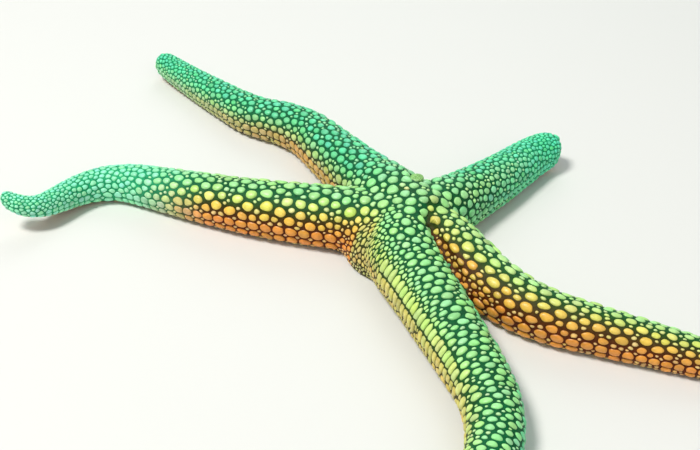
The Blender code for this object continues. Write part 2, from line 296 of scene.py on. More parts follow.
def remeshed(mesh, voxel):
    thing = bpy.data.objects.new("remeshing", mesh)
    bpy.context.scene.collection.objects.link(thing)
    remesh = thing.modifiers.new("run_together", "REMESH")
    remesh.mode = "VOXEL"
    remesh.voxel_size = voxel
    graph = bpy.context.evaluated_depsgraph_get()
    made = bpy.data.meshes.new_from_object(thing.evaluated_get(graph))
    bpy.data.objects.remove(thing)
    points = np.empty(len(made.vertices) * 3, np.float32)
    made.vertices.foreach_get("co", points)
    loops = loop_vertices(made)
    assert len(loops) == 4 * len(made.polygons), "the remesh gave a face that isn't a quad"
    return points.reshape(-1, 3).astype(float), loops.reshape(-1, 4)


def neighbour_sum(values, edges, count):
    out = np.empty_like(values)
    for k in range(values.shape[1]):
        out[:, k] = (np.bincount(edges[:, 0], values[edges[:, 1], k], count)
                     + np.bincount(edges[:, 1], values[edges[:, 0], k], count))
    return out


def point_normals(points, quads):
    across = np.cross(points[quads[:, 2]] - points[quads[:, 0]], points[quads[:, 3]] - points[quads[:, 1]])
    normals = np.zeros_like(points)
    for k in range(3):
        normals[:, k] = np.bincount(quads.ravel(), np.repeat(across[:, k], 4), len(points))
    return unit(normals)


def sunk_skin():
    """Points and quads of the whole skin, smoothed and sunk in steps."""
    points, quads = remeshed(grown_flesh(), SKIN_VOXEL)
    pairs = np.concatenate([np.stack([quads[:, k], quads[:, (k + 1) % 4]], 1) for k in range(4)])
    edges = np.unique(np.sort(pairs, 1), axis=0)
    degree = np.bincount(edges.ravel(), minlength=len(points))[:, None]

    def soften(p, times):
        for _ in range(times):
            for pull in (0.5, -0.52):
                p = p + pull * (neighbour_sum(p, edges, len(p)) / degree - p)
        return p

    points = soften(points, 10)
    for _ in range(SINK_STEPS):
        points = points - point_normals(points, quads) * (CLOSING + SKIN_DEPTH) / SINK_STEPS
        points = soften(points, 2)
    return points, quads


# Colours; each gap colour goes with the plate colour in the same place ------------------------------

def linear(*rgb):
    """A colour as it looks on a screen, 0 to 255, in the amounts of light that the renderer takes."""
    c = np.array(rgb, float) / 255
    return np.where(c <= 0.04045, c / 12.92, ((c + 0.055) / 1.055) ** 2.4)


HEAT_STOPS = np.array([0.0, 0.35, 0.65, 1.0])
WARMEST = 95  # degrees below the crest
# the crease's share is painted shade: near the disc, the right arm's flank beside the front arm is painted
# deeper orange-brown
BAY_HEAT, CREASE_PAINTED_SHADE = 0.62, 0.84
PLATE_HEAT = np.array([linear(158, 230, 148), linear(210, 228, 120),
                       linear(232, 198, 84), linear(230, 150, 52)])
GAP_HEAT = np.array([linear(2, 88, 44), linear(32, 77, 24), linear(66, 52, 8), linear(92, 34, 0)])
# painted light: the turquoise sheen of skylight that the flanks turned away and the back arms take
PLATE_PAINTED_SKYLIGHT, GAP_PAINTED_SKYLIGHT = linear(80, 214, 156), linear(0, 98, 58)
# the tips' teal green, partly their own colour and partly painted turquoise light
PLATE_TIP, GAP_TIP = linear(136, 242, 200), linear(26, 166, 112)
# the tips' colours in that painted turquoise light
PLATE_TIP_PAINTED_SKYLIGHT, GAP_TIP_PAINTED_SKYLIGHT = linear(80, 226, 172), linear(14, 152, 102)
TIP_SHARE = 0.9  # how far a tip takes on its teal green, partly its own colour and partly painted turquoise light
PLATE_UNDER, GAP_UNDER = linear(232, 206, 140), linear(150, 104, 56)


def ramp(q, colours):
    return np.stack([np.interp(q, HEAT_STOPS, colours[:, k]) for k in range(3)], -1)


def mixed(a, b, t):
    return a + (b - a) * np.asarray(t)[..., None]


def colours_at(place):
    """(plate colour, gap colour) for each place on the body."""
    steep = np.abs(place.angle)
    onset = of_arm("onset", place.arm)
    # the flanks' orange is their own colour; the difference in warmth between an arm's two flanks is painted
    # warm light
    warm_left, warm_right = of_arm("warm", place.arm).T
    warm = np.where(place.angle > 0, warm_right, warm_left)
    down_right = np.clip((place.angle - onset) / (WARMEST - onset), 0, 1)
    down_left = np.clip((-place.angle - onset) / (WARMEST - onset), 0, 1)
    heat = np.maximum(down_right * warm_right, down_left * warm_left)
    bay = (place.arm == FRONT) * rising(place.angle, 36, 26) * falling(place.station, 0.22, 0.14)
    # painted shade in the crease between the right arm and the front arm, near the disc
    crease = (place.arm == RIGHT) * rising(place.angle, 20, 22) * falling(place.station, 0.36, 0.14)
    heat = np.maximum(heat, np.maximum(BAY_HEAT * bay, CREASE_PAINTED_SHADE * crease))
    # painted turquoise light, most on the two back arms
    cool = of_arm("cool", place.arm) * rising(place.station, 0.02, 0.20)
    # the short arm has less painted turquoise light in a band to the right of its crest
    band = np.exp(-((place.angle - 38) / 26) ** 2) * falling(place.station, 0.50, 0.2)
    cool = cool * (1 - 0.75 * (place.arm == BACK_RIGHT) * band)
    # painted light: steep flanks with little warmth, and the back arms, take the turquoise sheen of skylight
    painted_skylight = np.maximum(rising(steep, 30, 50) * np.maximum(1 - warm, 0) * 0.9, cool * (1 - 0.8 * heat))
    green = of_arm("green", place.arm)
    # the tip's teal green, partly painted turquoise light
    tip = rising(share_along(place), green[:, 0], green[:, 1] - green[:, 0]) * TIP_SHARE
    under = rising(steep, 128, 18)

    def blended(by_heat, in_painted_skylight, at_tip, at_tip_in_painted_skylight, below):
        body = mixed(ramp(heat, by_heat), in_painted_skylight, painted_skylight)
        return mixed(mixed(body, mixed(at_tip, at_tip_in_painted_skylight, cool), tip), below, under)

    return (blended(PLATE_HEAT, PLATE_PAINTED_SKYLIGHT, PLATE_TIP, PLATE_TIP_PAINTED_SKYLIGHT, PLATE_UNDER),
            blended(GAP_HEAT, GAP_PAINTED_SKYLIGHT, GAP_TIP, GAP_TIP_PAINTED_SKYLIGHT, GAP_UNDER))


# Materials ---------------------------------------------------------------------------------------

def tinted_material(name, roughness, gloss, grain, depth, mottle_scale, low_share, coat=0.0):
    """Painted with the mesh's own tint, mottled, with a fine granular relief."""
    material = bpy.data.materials.new(name)
    material.use_nodes = True
    nodes, links = material.node_tree.nodes, material.node_tree.links
    shader = nodes["Principled BSDF"]
    shader.inputs["Roughness"].default_value = roughness
    shader.inputs["Specular IOR Level"].default_value = gloss
    shader.inputs["Coat Weight"].default_value = coat
    shader.inputs["Coat Roughness"].default_value = 0.22
    place = nodes.new("ShaderNodeTexCoord").outputs["Object"]
    tint = nodes.new("ShaderNodeAttribute")
    tint.attribute_name = "tint"
    noise = nodes.new("ShaderNodeTexNoise")
    noise.inputs["Scale"].default_value = mottle_scale
    noise.inputs["Detail"].default_value = 4
    links.new(place, noise.inputs["Vector"])
    share = nodes.new("ShaderNodeMapRange")
    share.inputs["From Min"].default_value = 0.3
    share.inputs["From Max"].default_value = 0.7
    share.inputs["To Min"].default_value = low_share
    share.inputs["To Max"].default_value = 2 - low_share
    links.new(noise.outputs["Fac"], share.inputs["Value"])
    darker = nodes.new("ShaderNodeVectorMath")
    darker.operation = "SCALE"
    links.new(tint.outputs["Color"], darker.inputs[0])
    links.new(share.outputs["Result"], darker.inputs["Scale"])
    links.new(darker.outputs["Vector"], shader.inputs["Base Color"])
    cells = nodes.new("ShaderNodeTexVoronoi")
    cells.inputs["Scale"].default_value = 1 / grain
    links.new(place, cells.inputs["Vector"])
    bump = nodes.new("ShaderNodeBump")
    bump.invert = True
    bump.inputs["Strength"].default_value = 0.6
    bump.inputs["Distance"].default_value = depth
    links.new(cells.outputs["Distance"], bump.inputs["Height"])
    links.new(bump.outputs["Normal"], shader.inputs["Normal"])
    return material


FOLD_WIDTH = 1 / 36  # of a full turn


def membrane_material():
    """Soft and moist, with folds that run out from the mouth's pursed opening."""
    material = bpy.data.materials.new("mouth_membrane")
    material.use_nodes = True
    nodes, links = material.node_tree.nodes, material.node_tree.links
    shader = nodes["Principled BSDF"]
    shader.inputs["Roughness"].default_value = 0.28
    shader.inputs["Subsurface Weight"].default_value = 0.15
    shader.inputs["Subsurface Scale"].default_value = 0.5 * MM
    place = nodes.new("ShaderNodeTexCoord").outputs["Object"]
    centred = nodes.new("ShaderNodeVectorMath")
    centred.operation = "SUBTRACT"
    centred.inputs[1].default_value = CENTRE
    links.new(place, centred.inputs[0])
    turned = nodes.new("ShaderNodeTexGradient")
    turned.gradient_type = "RADIAL"
    links.new(centred.outputs["Vector"], turned.inputs["Vector"])
    folds = nodes.new("ShaderNodeMath")
    folds.operation = "PINGPONG"
    folds.inputs[1].default_value = FOLD_WIDTH
    links.new(turned.outputs["Fac"], folds.inputs[0])
    bump = nodes.new("ShaderNodeBump")
    bump.inputs["Strength"].default_value = 0.8
    bump.inputs["Distance"].default_value = 6 * MM
    links.new(folds.outputs["Value"], bump.inputs["Height"])
    links.new(bump.outputs["Normal"], shader.inputs["Normal"])
    # painted shade: the hollows between the folds are painted darker than their crests
    depth = nodes.new("ShaderNodeMapRange")
    depth.inputs["From Max"].default_value = FOLD_WIDTH
    links.new(folds.outputs["Value"], depth.inputs["Value"])
    colour = nodes.new("ShaderNodeMix")
    colour.data_type = "RGBA"
    colour.inputs["A"].default_value = (*linear(168, 112, 66), 1)
    colour.inputs["B"].default_value = (*linear(222, 176, 118), 1)
    links.new(depth.outputs["Result"], colour.inputs["Factor"])
    links.new(colour.outputs["Result"], shader.inputs["Base Color"])
    return material


PLATE_MATERIAL = tinted_material("plates", 0.40, 0.45, 0.24 * MM, 0.03 * MM, 600, 0.86, 0.12)
FOOT_MATERIAL = tinted_material("tube_feet", 0.3, 0.5, 0.3 * MM, 0.02 * MM, 900, 0.85, 0.3)
SKIN_MATERIAL = tinted_material("soft_skin", 0.6, 0.2, 0.35 * MM, 0.10 * MM, 900, 0.7)


# Plates ------------------------------------------------------------------------------------------

SUPERO, INFERO, LARGE, MEDIUM, SMALL, TINY, SOLE, TERMINAL = range(8)
ROWS = ((99, SUPERO), (120, INFERO))  # degrees below the crest
ROW_STARTS = {(FRONT, 1): 0.185, (LEFT, -1): 0.175}  # by arm and side; the rest start at ROW_START
ROW_START, ROW_END, ROW_ROOM = 0.06, 0.02, 0.62
LADDER_END, LADDER_FADE, LADDER_PITCH = 0.70, 0.25, 0.23
ROW_STRETCH, LADDER_STRETCH, ROW_SNUGNESS = 1.3, 0.42, 0.8
CANDIDATES = 150000
NEIGHBOURS = 16  # how many cells around it shape each one
ROW_SQUARENESS, SQUARENESS = 8, 5
LEAST_REACH = 0.35  # of a cell's own radius
FARTHEST = 2.2  # how far off a cell may be that shapes another, in the sum of their radii
SAME_SIDE = -0.2  # the least cosine between the normals of two cells that shape each other
SETTLE_ROUNDS, SETTLE_PACE = 3, 0.7
DISC_PLATES = 0.86  # the disc's plates, in the same measure as each arm's
LARGE_SHARE, SOLE_SHARE = 0.27, 0.155  # of the arm's radius
LARGEST, SMALLEST = 1.95 * MM, 0.28 * MM
SOLE_SIZES = (0.5 * MM, 1.1 * MM)
SNUG_LOSS = 0.32  # how much smaller plates are where they close up into a mesh
FIRST_LIMIT, SOLE_LIMIT, LATER_LIMIT = 2.1 * MM, 2 * MM, 1.5 * MM  # no cell laid next is larger
SOLE_ANGLE, BARE_ANGLE, LARGE_ANGLE = 139, 120, 112  # degrees below the crest
FURROW_BARE, MOUTH_BARE, SIEVE_BARE = 2.4 * MM, 6.4 * MM, 0.7 * MM  # skin without plates around them
# Rounds of filling in what the rows leave: (kind, share of the large plates' size, looseness)
FILLS = ((LARGE, 1.0, 0.7), (SOLE, 1.0, 0.15), (LARGE, 0.82, 0.5), (MEDIUM, 0.64, 0.5),
         (SMALL, 0.48, 0.4), (TINY, 0.34, 0.3))


def skin_candidates(points, quads, count):
    """Random points spread evenly over the skin, with their normals."""
    tris = np.concatenate([quads[:, [0, 1, 2]], quads[:, [0, 2, 3]]])
    corners = points[tris]
    area = np.linalg.norm(np.cross(corners[:, 1] - corners[:, 0], corners[:, 2] - corners[:, 0]), axis=1)
    pick = rng.choice(len(tris), count, p=area / area.sum())
    w = rng.random((count, 2))
    w = np.where(w.sum(1, keepdims=True) > 1, 1 - w, w)
    w = np.concatenate([1 - w.sum(1, keepdims=True), w], 1)
    normals = point_normals(points, quads)
    return (corners[pick] * w[..., None]).sum(1), unit((normals[tris[pick]] * w[..., None]).sum(1))


class Packer:
    """Packs cells of given radii over candidate points, stretched along the arms as stretch says."""

    def __init__(self, points, normals, largest):
        self.points, self.largest = points, largest
        place = on_star(points)
        self.along, _ = tangents(place, normals)
        self.stretch = stretch(place)
        self.tree = KDTree(len(points))
        for i, p in enumerate(points):
            self.tree.insert(p, i)
        self.tree.balance()
        self.room = np.full(len(points), np.inf)
        self.centres, self.radii, self.kinds = [], [], []

    def put(self, centre, radius, kind):
        self.centres.append(np.array(centre, float))
        self.radii.append(radius)
        self.kinds.append(kind)
        _, own, _ = self.tree.find(centre)
        k = self.stretch[own]
        found = self.tree.find_range(centre, (radius + self.largest) * math.sqrt(k))
        near = np.array([i for _, i, _ in found])
        away = self.points[near] - centre
        along = away @ self.along[own]
        distance = np.sqrt(along ** 2 / k + ((away ** 2).sum(1) - along ** 2) * k)
        self.room[near] = np.minimum(self.room[near], distance - radius)

    def room_at(self, centre):
        return self.room[self.tree.find(centre)[1]]

    def fill(self, wanted, looseness, kind, largest_next):
        """Puts cells of the wanted radius at each candidate until no more fit; 0 wants none."""
        score = rng.random(len(self.points)) * looseness * wanted
        while True:
            fits = (self.room >= wanted) & (wanted > 0)
            if not fits.any():
                break
            loose = np.minimum(self.room - wanted, wanted * 2)
            i = int(np.argmin(np.where(fits, loose + score, np.inf)))
            self.put(self.points[i], wanted[i], kind)
        self.largest = largest_next


def row_points(tree, a, angle_at, first, last, pitch_at):
    """Points on the skin in a row along an arm, a pitch apart, with their spacing."""
    line, s, out = LINES[a], first, []
    while s < last:
        radius = float(line.at(s, line.radius))
        h = float(line.at(s, line.heading))
        origin = Vector((line.at(s, line.x), line.at(s, line.y), line.at(s, line.axis)))
        angle = math.radians(angle_at(s))
        side = Vector((math.sin(h), -math.cos(h), 0)) * math.sin(angle)
        hit, _, _, away = tree.ray_cast(origin, side + Vector((0, 0, math.cos(angle))))
        pitch = pitch_at(s) * radius
        if hit is not None and away < 1.3 * radius:
            out.append((np.array(hit), pitch))
        s += pitch / REACH
    return out


def laddered(place):
    """1 where the front arm's margin, drawn together in its bend, is a ladder of narrow plates."""
    band = np.interp(place.angle, [42, 52, 86, 100], [0, 1, 1, 0.5])
    return (place.arm == FRONT) * band * (place.angle < 130) * falling(place.station, LADDER_END, LADDER_FADE)


def snugness(place):
    """0 where plates are round and well apart, 1 where they close up into a mesh."""
    start, end = of_arm("snug", place.arm).T
    return rising(share_along(place), start, end - start)


def gap_of(own, other):
    """How wide the skin shows between two cells of these radii."""
    return 0.12 * MM + 0.16 * np.minimum(own, other)


def stretch(place):
    """How much longer cells are along the arm than round it; 1 on the disc."""
    along = 1 + (of_arm("stretch", place.arm) - 1) * rising(place.station, 0.1, 0.15)
    in_rows = np.interp(np.abs(place.angle), [80, 88, 128, 134], [0, 1, 1, 0])
    along = along + (ROW_STRETCH - along) * in_rows
    return along + (LADDER_STRETCH - along) * laddered(place)


def cell_shapes(centres, normals, radii, kinds, sides):
    """Each cell's spokes, and how far it reaches along them between its neighbours."""
    in_row = np.isin(kinds, (SUPERO, INFERO))
    squareness = np.where(in_row, ROW_SQUARENESS, SQUARENESS)[:, None]
    place = on_star(centres)
    along, round_ = tangents(place, normals)
    snug = np.maximum(snugness(place), ROW_SNUGNESS * in_row)
    longer = np.sqrt(stretch(place))[:, None]
    tree = KDTree(len(centres))
    for i, p in enumerate(centres):
        tree.insert(p, i)
    tree.balance()
    near = np.zeros((len(centres), NEIGHBOURS), int)
    there = np.zeros((len(centres), NEIGHBOURS), bool)
    for i, p in enumerate(centres):
        found = [j for _, j, _ in tree.find_n(p, NEIGHBOURS + 1) if j != i][:NEIGHBOURS]
        near[i, :len(found)] = found
        there[i, :len(found)] = True
    away = centres[near] - centres[:, None]
    a, b = np.einsum("njk,nk->nj", away, along), np.einsum("njk,nk->nj", away, round_)
    level = np.maximum(np.hypot(a, b), 1e-9)
    a, b = a / longer, b * longer
    scaled = np.maximum(np.hypot(a, b), 1e-9)
    distance = np.maximum(np.linalg.norm(away, axis=2) * scaled / level, 1e-6)
    own, other = radii[:, None], radii[near]
    reach = (distance ** 2 + own ** 2 - other ** 2) / (2 * distance)
    reach = np.maximum(reach - gap_of(own, other) * (1 - 0.5 * snug)[:, None] / 2, LEAST_REACH * own)
    facing = (normals[:, None] * normals[near]).sum(2) > SAME_SIDE
    counts = there & facing & (distance < FARTHEST * (own + other))
    turn = 2 * np.pi * np.arange(sides) / sides
    c, s = np.cos(turn)[:, None], np.sin(turn)[:, None]
    lean = (a / scaled)[:, None] * c + (b / scaled)[:, None] * s
    term = np.where(counts[:, None], np.maximum(lean, 0) / reach[:, None], 0) ** squareness[..., None]
    limit = (1 / (radii * (1.15 + 0.25 * snug)))[:, None] ** squareness
    spoke = along[:, None] * c * longer[..., None] + round_[:, None] * s / longer[..., None]
    return spoke, (term.sum(2) + limit) ** (-1 / squareness)


def tangents(place, normals):
    """For each place, a tangent along its arm and one round it."""
    heading = np.zeros(len(normals))
    for k, line in enumerate(LINES):
        mine = place.arm == k
        heading[mine] = line.at(place.station[mine], line.heading)
    along = np.stack([np.cos(heading), np.sin(heading), np.zeros(len(heading))], 1)
    along = unit(along - normals * (along * normals).sum(1, keepdims=True))
    return along, np.cross(normals, along)


def spokes(along, round_, sides):
    turn = 2 * np.pi * np.arange(sides) / sides
    return along[:, None] * np.cos(turn)[:, None] + round_[:, None] * np.sin(turn)[:, None]


def on_skin(tree, points):
    """Nearest skin points and normals."""
    near, normals = np.empty_like(points), np.empty_like(points)
    for i, p in enumerate(points):
        place, normal, _, _ = tree.find_nearest(p)
        near[i], normals[i] = place, normal
    return near, normals


def settled(tree, centres, radii, kinds, rounds):
    """Moves the cells that aren't in rows to the middle of their room."""
    fixed = np.isin(kinds, (SUPERO, INFERO, TERMINAL))
    for _ in range(rounds):
        centres, normals = on_skin(tree, centres)
        spoke, reach = cell_shapes(centres, normals, radii, kinds, 12)
        pull = (spoke * reach[..., None] ** 3).sum(1) / (reach ** 2).sum(1, keepdims=True) * 2 / 3
        centres = np.where(fixed[:, None], centres, centres + SETTLE_PACE * pull)
    return on_skin(tree, centres)


Plates = namedtuple("Plates", "centres normals radii kinds")


def domes(tree, plates, spoke, reach, mine, rings, share, most, sunk):
    """Points and faces of the plates that mine picks, low domes with their rims sunk in the skin."""
    spoke, reach = spoke[mine], reach[mine]
    centres, normals = plates.centres[mine][:, None], plates.normals[mine][:, None]
    n, sides = reach.shape
    edge, _ = on_skin(tree, (centres + spoke * reach[..., None]).reshape(-1, 3))
    edge = edge.reshape(n, sides, 3) - centres
    rise = (edge * normals).sum(2, keepdims=True)
    flat = edge - normals * rise
    height = np.minimum(share * reach.mean(1), most)[:, None, None]
    points = []
    for f in rings:
        lifted = height * (1 - f ** 2.4) ** 0.55 - sunk * float(rising(f, 0.9, 0.1))
        points.append(centres + flat * f + normals * (rise * f * f + lifted))
    points.append(centres + normals * height)
    return np.concatenate(points, 1), dome_faces(n, sides, len(rings))


def dome_faces(n, sides, rings):
    """The faces of n closed domes, each of rings of points, from the rim in, and a top point."""
    count = sides * rings + 1
    k = np.arange(sides)
    nxt = (k + 1) % sides
    quads = np.concatenate([np.stack([r * sides + k, r * sides + nxt, (r + 1) * sides + nxt,
                                      (r + 1) * sides + k], 1) for r in range(rings - 1)])
    last = (rings - 1) * sides
    tris = np.stack([last + k, last + nxt, np.full(sides, count - 1)], 1)
    base = k[::-1][None]
    first = (np.arange(n) * count)[:, None, None]
    return [(quads[None] + first).reshape(-1, 4), (tris[None] + first).reshape(-1, 3),
            (base[None] + first).reshape(-1, sides)]


def ladder_turn(kind, station):
    """How far round the flank the front arm's rows lie from the other arms', where they are a ladder."""
    bulge = float(falling(station, 0.24, 0.16))
    return -38 + 10 * bulge if kind == SUPERO else -34 + 8 * bulge


def uneven(count, sides):
    """Slight dents and bulges for each outline, no two alike."""
    turn = 2 * np.pi * np.arange(sides) / sides
    out = np.ones((count, sides))
    for waves, amount in ((2, 0.045), (3, 0.035), (5, 0.015)):
        out += amount * rng.normal(0, 1, (count, 1)) * np.sin(waves * turn + rng.uniform(0, 7, (count, 1)))
    return np.clip(out, 0.86, 1.10)


def fineness(place):
    """The share of the usual size that plates keep: less in the bays and creases between arms."""
    front, right, left = (place.arm == a for a in (FRONT, RIGHT, LEFT))
    crease = falling(place.station, 0.36, 0.1)
    head = falling(place.station, 0.20, 0.08)
    finer = (
        np.where(front, 0.48 * rising(place.angle, 14, 18) * falling(place.station, 0.50, 0.15), 0),
        np.where(front, 0.35 * rising(-place.angle, 40, 20) * crease, 0),
        0.40 * (left * rising(-place.angle, 45, 20) * falling(place.station, 0.26, 0.1)),
        np.where(right, 0.45 * rising(place.angle - 38 + 22 * head, 0, 20) * crease, 0),
    )
    return 1 - np.max(finer, axis=0)


def large_sizes(place, snug):
    """The radius that a large plate has at each place, a little by chance."""
    factor = DISC_PLATES + (of_arm("plates", place.arm) - DISC_PLATES) * rising(place.station, 0.05, 0.12)
    factor *= fineness(place) * (1 - SNUG_LOSS * snug)
    large = np.minimum(LARGE_SHARE * place.radius, LARGEST) * factor
    count = len(snug)
    return large * (rng.uniform(0.78, 1.12, count) * (1 - snug) + snug * rng.uniform(0.88, 1.08, count))


def bare_skin(points, place):
    """Where no plate stands: beside the furrows, round the mouth and round the sieve plate."""
    steep = np.abs(place.angle)
    beside_furrow = np.abs(place.across) < np.minimum(FURROW_BARE, 0.45 * place.radius)
    off_mouth = np.hypot(points[:, 0] - CENTRE.x, points[:, 1] - CENTRE.y)
    off_sieve = np.hypot(points[:, 0] - SIEVE.x, points[:, 1] - SIEVE.y)
    below = (steep > BARE_ANGLE) & (beside_furrow | (off_mouth < MOUTH_BARE))
    return below | (off_sieve < SIEVE_RADIUS + SIEVE_BARE) & (steep < 90)


def add_terminals(packer, tree):
    """The single plate at the end of each arm."""
    for a, arm in enumerate(ARMS):
        ends = row_points(tree, a, lambda s: 0, arm.length - 0.012, arm.length - 0.011, lambda s: 0.5)
        packer.put(ends[0][0], 0.30 * float(LINES[a].radius[-1]), TERMINAL)


def add_row(packer, tree, a, side, angle, kind):
    """One regular row of plates along a flank."""
    usual = ARMS[a].rows[int(side > 0)]
    drawn_together = (a, side) == (FRONT, 1)

    def ladder(s):
        return float(falling(s, LADDER_END, LADDER_FADE)) * drawn_together

    def angle_at(s):
        return side * (angle + ladder_turn(kind, s) * ladder(s))

    def pitch_at(s):
        return usual + (LADDER_PITCH - usual) * ladder(s)

    first = ROW_STARTS.get((a, side), ROW_START)
    row = row_points(tree, a, angle_at, first, ARMS[a].length - ROW_END, pitch_at)
    centres = np.array([centre for centre, _ in row])
    places = on_star(centres)
    radii = np.array([pitch for _, pitch in row]) / 2 / np.sqrt(stretch(places))
    for centre, radius, owner in zip(centres, radii, places.arm):
        if owner == a and packer.room_at(centre) > ROW_ROOM * radius:
            packer.put(centre, radius, kind)


def laid_plates(points, quads, tree):
    """Where every plate's middle lies, how large its cell is, and its kind."""
    spots, spot_normals = skin_candidates(points, quads, CANDIDATES)
    place = on_star(spots)
    steep = np.abs(place.angle)
    snug = snugness(place)
    large = large_sizes(place, snug)
    dressed = ~bare_skin(spots, place)
    above = (steep <= SOLE_ANGLE) & dressed
    sole = np.where((steep > SOLE_ANGLE) & dressed, np.clip(SOLE_SHARE * place.radius, *SOLE_SIZES), 0)
    packer = Packer(spots, spot_normals, FIRST_LIMIT)
    add_terminals(packer, tree)
    for a in range(len(ARMS)):
        for angle, kind in ROWS:
            for side in (1, -1):
                add_row(packer, tree, a, side, angle, kind)
    for kind, share, looseness in FILLS:
        if kind == SOLE:
            packer.fill(sole, looseness, kind, SOLE_LIMIT)
            continue
        allowed = above & (steep < LARGE_ANGLE) if kind in (LARGE, MEDIUM) else above & (snug < 0.6)
        wanted = np.where(allowed & (large * share > SMALLEST), large * share, 0)
        packer.fill(wanted, looseness * (1 - 0.8 * snug), kind, LATER_LIMIT)
    kinds, radii = np.array(packer.kinds), np.array(packer.radii)
    centres, normals = settled(tree, np.array(packer.centres), radii, kinds, SETTLE_ROUNDS)
    return Plates(centres, normals, radii, kinds)


def rods(bases, tips, profile, sides):
    """Points and faces of slim closed rods from bases to tips; profile is (share along, radius)."""
    axis = tips - bases
    first = unit(np.cross(axis, np.array([0.31, 0.27, 0.91])))
    second = unit(np.cross(axis, first))
    spoke = spokes(second, first, sides)
    points = [bases[:, None] + axis[:, None] * share + spoke * radius for share, radius in profile]
    points.append((bases + axis * profile[-1][0])[:, None])
    return np.concatenate(points, 1), dome_faces(len(bases), sides, len(profile))


PALE_PLATE, PALE_SHARE = linear(222, 240, 176), 0.30
YELLOWER = np.array([0.16, 0.03, -0.20])  # red, green and blue of the largest plates, as a change
HUE_SPREAD = np.array([0.05, 0.04, 0.10])  # how much red, green and blue differ from plate to plate


def plate_tints(place, plates, sides, rings):
    """A colour for each point of each plate: small plates are paler, the largest yellower, and each is
    lighter towards its top, a painted highlight.
    """
    plate, gap = colours_at(place)
    pale = np.isin(plates.kinds, (SMALL, TINY))[:, None] * PALE_SHARE
    plate = plate + (PALE_PLATE - plate) * pale
    grown = np.clip((plates.radii / MM - 0.8) / 0.8, 0, 1) * (plates.kinds == LARGE)
    # the largest plates turn no yellower where the arm has painted turquoise light
    grown = grown * (1 - of_arm("cool", place.arm))
    grown = grown * rising(np.abs(place.angle), 5, 30)
    plate = plate * (1 + grown[:, None] * YELLOWER)
    n = len(plate)
    tone = 1 + rng.normal(0, 1, (n, 3)) * HUE_SPREAD + rng.normal(0, 0.05, (n, 1))
    plate = np.clip(plate * tone, 0, 1)
    out = []
    for f in list(rings) + [0]:
        if f > 0.98:
            colour = gap
        elif f > 0.9:
            colour = gap + (plate - gap) * 0.55
        else:
            # painted highlight: each plate is painted lighter towards its top
            colour = plate + (np.minimum(plate * 1.12 + 0.02, 1) - plate) * (1 - f) ** 1.5
        out.append(np.repeat(colour[:, None], sides if f > 0 else 1, 1))
    return np.concatenate(out, 1)


def patch_uv(points, place, centres, along, round_):
    """Each piece's patch on its arm's strip, at its own place there and at the strip's scale."""
    length = (of_arm("length", place.arm) + 2 * LINE_START) * REACH
    middle = strip_uv(place.arm, place.station, place.angle)[:, None]
    girth = 2 * np.pi * np.hypot(place.across, place.up)
    away = points - centres[:, None]
    u = np.einsum("npk,nk->np", away, along) * (STRIP_SHARE / length)[:, None]
    v = -np.einsum("npk,nk->np", away, round_) * (STRIP_SHARE / len(ARMS) / girth)[:, None]
    return middle + np.stack([u, v], -1)


PLATE_KINDS = {
    # pieces' ending: (kinds, sides, rings, height by width, greatest height, how deep the rim goes)
    "margins": ((SUPERO, INFERO, TERMINAL), 20, (1, 0.97, 0.88, 0.68, 0.38), 0.36, 0.54 * MM, 0.25 * MM),
    "large_plates": ((LARGE,), 20, (1, 0.97, 0.88, 0.68, 0.38), 0.36, 0.54 * MM, 0.25 * MM),
    "medium_plates": ((MEDIUM,), 16, (1, 0.96, 0.84, 0.55), 0.42, 0.48 * MM, 0.2 * MM),
    "small_plates": ((SMALL, TINY), 12, (1, 0.95, 0.7), 0.46, 0.38 * MM, 0.15 * MM),
    "sole_plates": ((SOLE,), 14, (1, 0.95, 0.8, 0.5), 0.3, 0.32 * MM, 0.15 * MM),
}


OFF_FLOOR = 0.03 * MM  # how far every plate stays above the floor


def make_plates(tree, plates):
    """One piece for each kind of plate on each arm, which takes its fifth of the disc."""
    place = on_star(plates.centres)
    along, round_ = tangents(place, plates.normals)
    for ending, (kinds, sides, rings, share, most, sunk) in PLATE_KINDS.items():
        spoke, reach = cell_shapes(plates.centres, plates.normals, plates.radii, plates.kinds, sides)
        reach = reach * uneven(len(reach), sides)
        tints = plate_tints(place, plates, sides, rings)
        for a, arm in enumerate(ARMS):
            mine = np.isin(plates.kinds, kinds) & (place.arm == a)
            points, faces = domes(tree, plates, spoke, reach, mine, rings, share, most, sunk)
            points[..., 2] = np.maximum(points[..., 2], OFF_FLOOR)
            mesh = new_mesh(f"{arm.name}_{ending}", points.reshape(-1, 3), faces)
            paint(mesh, tints[mine].reshape(-1, 3))
            near = Place(*(values[mine] for values in place))
            uv = patch_uv(points, near, plates.centres[mine], along[mine], round_[mine])
            lay_out(mesh, uv.reshape(-1, 2)[loop_vertices(mesh)])
            new_piece(mesh.name, mesh, PLATE_MATERIAL)


def make_skin(points, quads):
    mesh = new_mesh("skin", points, [quads])
    _, gap = colours_at(on_star(points))
    paint(mesh, gap)
    middle = on_star(points[quads].mean(1))
    corners = relative(points[quads].reshape(-1, 3), np.repeat(middle.arm, 4)).reshape(-1, 4, 2)
    turn = corners[..., 1] - middle.angle[:, None]
    corners[..., 1] -= 360 * np.round(turn / 360)
    uv = strip_uv(np.repeat(middle.arm, 4), corners[..., 0].ravel(), corners[..., 1].ravel())
    lay_out(mesh, uv)
    nodes = [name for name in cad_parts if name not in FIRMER_NODES]
    new_piece("skin", mesh, SKIN_MATERIAL, nodes)


def beside(a, stations, across, height):
    """Points at that much across an arm's midline, at a height over its sole."""
    line = LINES[a]
    h = line.at(stations, line.heading)
    x = line.at(stations, line.x) + np.sin(h) * across
    y = line.at(stations, line.y) - np.cos(h) * across
    lifted = line.at(stations, line.axis - SOLE_DEPTH * line.radius)
    return np.stack([x, y, lifted + height], 1)


